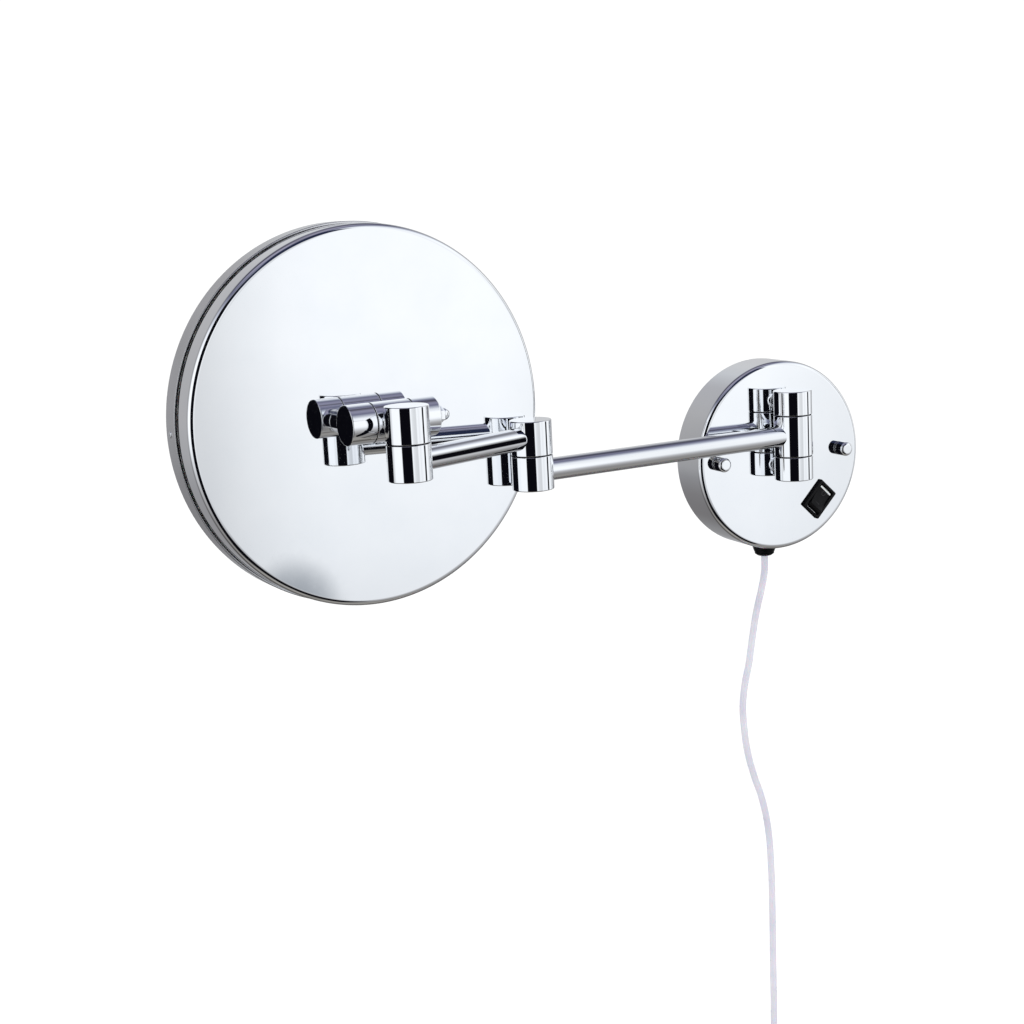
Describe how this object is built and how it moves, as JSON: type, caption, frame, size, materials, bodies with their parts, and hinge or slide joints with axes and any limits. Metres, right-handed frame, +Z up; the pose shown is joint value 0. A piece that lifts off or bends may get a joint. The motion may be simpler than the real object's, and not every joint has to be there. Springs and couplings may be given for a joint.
{
  "type": "extendable shaving mirror",
  "caption": "Lit round magnifying mirror that tilts and swivels on a two-link chrome arm folding out from a round wall plate with a rocker switch and a mains cord.",
  "frame": {"origin": "centre of the wall plate's back, on the wall", "axes": "+Z up, +Y into the wall, -Y out into the room, +X to the right of a viewer who faces the wall"},
  "size_m": [0.4482, 0.0986, 0.7284],
  "materials": {
    "chrome": "polished chrome plate on brass and steel",
    "steel": "zinc-plated steel",
    "brass": "nickel-brass pins",
    "black_plastic": "black moulded nylon, satin gloss",
    "black_nylon": "black nylon friction washer",
    "white_plastic": "white moulded plastic",
    "board": "white solder-masked circuit board",
    "frosted": "frosted white acrylic light ring",
    "silvered": "silvered magnifying glass, slightly concave",
    "cord": "pale milky PVC cord sheath",
    "tie": "black cable tie"
  },
  "bodies": {
    "wall_plate": {"wall_plate_cover": "chrome", "wall_bracket": "steel", "stud_left": "steel", "stud_right": "steel", "stud_washer_left": "chrome", "stud_washer_right": "chrome", "cap_nut_left": "chrome", "cap_nut_right": "chrome", "led_driver": "white_plastic", "terminal_block": "white_plastic", "cable_gland": "black_plastic", "gland_nut": "black_plastic", "switch_housing": "black_plastic", "wall_knuckle_bottom": "chrome", "wall_knuckle_top": "chrome", "knuckle_screw_bottom": "steel", "knuckle_screw_top": "steel", "wall_washer_bottom": "black_nylon", "wall_washer_top": "black_nylon", "wall_pivot_screw": "steel", "cover_stiffener": "steel", "cord_tube": "cord", "cord_coil": "cord", "cord_tie": "tie", "cord_tail": "cord", "plug_body": "white_plastic", "plug_pin_left": "brass", "plug_pin_right": "brass"},
    "switch_key": {"switch_rocker": "black_plastic"},
    "long_arm": {"long_arm_wall_hub": "chrome", "long_arm_tube": "chrome", "long_arm_elbow_hub": "chrome", "elbow_washer": "black_nylon"},
    "short_arm": {"short_arm_elbow_hub": "chrome", "elbow_pivot_screw": "steel", "short_arm_tube": "chrome", "short_arm_head_hub": "chrome", "head_washer": "black_nylon"},
    "head_swivel": {"head_swivel_block": "chrome", "head_pivot_screw": "steel"},
    "mirror_head": {"tilt_ear_left": "chrome", "tilt_ear_right": "chrome", "ear_screw_left": "steel", "ear_screw_right": "steel", "tilt_washer_left": "black_nylon", "tilt_washer_right": "black_nylon", "tilt_bolt": "steel", "tilt_nut_washer": "chrome", "tilt_cap_nut": "chrome", "rear_casing": "chrome", "seam_gasket": "black_nylon", "front_bezel": "chrome", "mirror_carrier": "white_plastic", "led_ring_board": "board", "light_diffuser": "frosted", "mirror_glass": "silvered", "bezel_screw_1": "steel", "bezel_screw_2": "steel", "bezel_screw_3": "steel"}
  },
  "joints": [
    {"name": "wall_swing", "type": "hinge", "parent": "wall_plate", "child": "long_arm", "pos_m": [0, -0.041, 0.015], "axis": [0, 0, 1], "range_deg": [-8, 181]},
    {"name": "elbow_swing", "type": "hinge", "parent": "long_arm", "child": "short_arm", "pos_m": [-0.18765, -0.05248, 0.015], "axis": [0, 0, 1], "range_deg": [-20, 160]},
    {"name": "head_swing", "type": "hinge", "parent": "short_arm", "child": "head_swivel", "pos_m": [-0.27634, -0.08652, 0.035], "axis": [0, 0, 1], "range_deg": [0, 213]},
    {"name": "mirror_tilt", "type": "hinge", "parent": "head_swivel", "child": "mirror_head", "pos_m": [-0.27803, -0.06509, 0.055], "axis": [0.9969, 0.0785, 0], "range_deg": [0, 100]},
    {"name": "switch_rock", "type": "hinge", "parent": "wall_plate", "child": "switch_key", "pos_m": [0.0282, -0.0245, -0.0312], "axis": [-0.7193, 0, 0.6947], "range_deg": [-18, 0]}
  ]
}
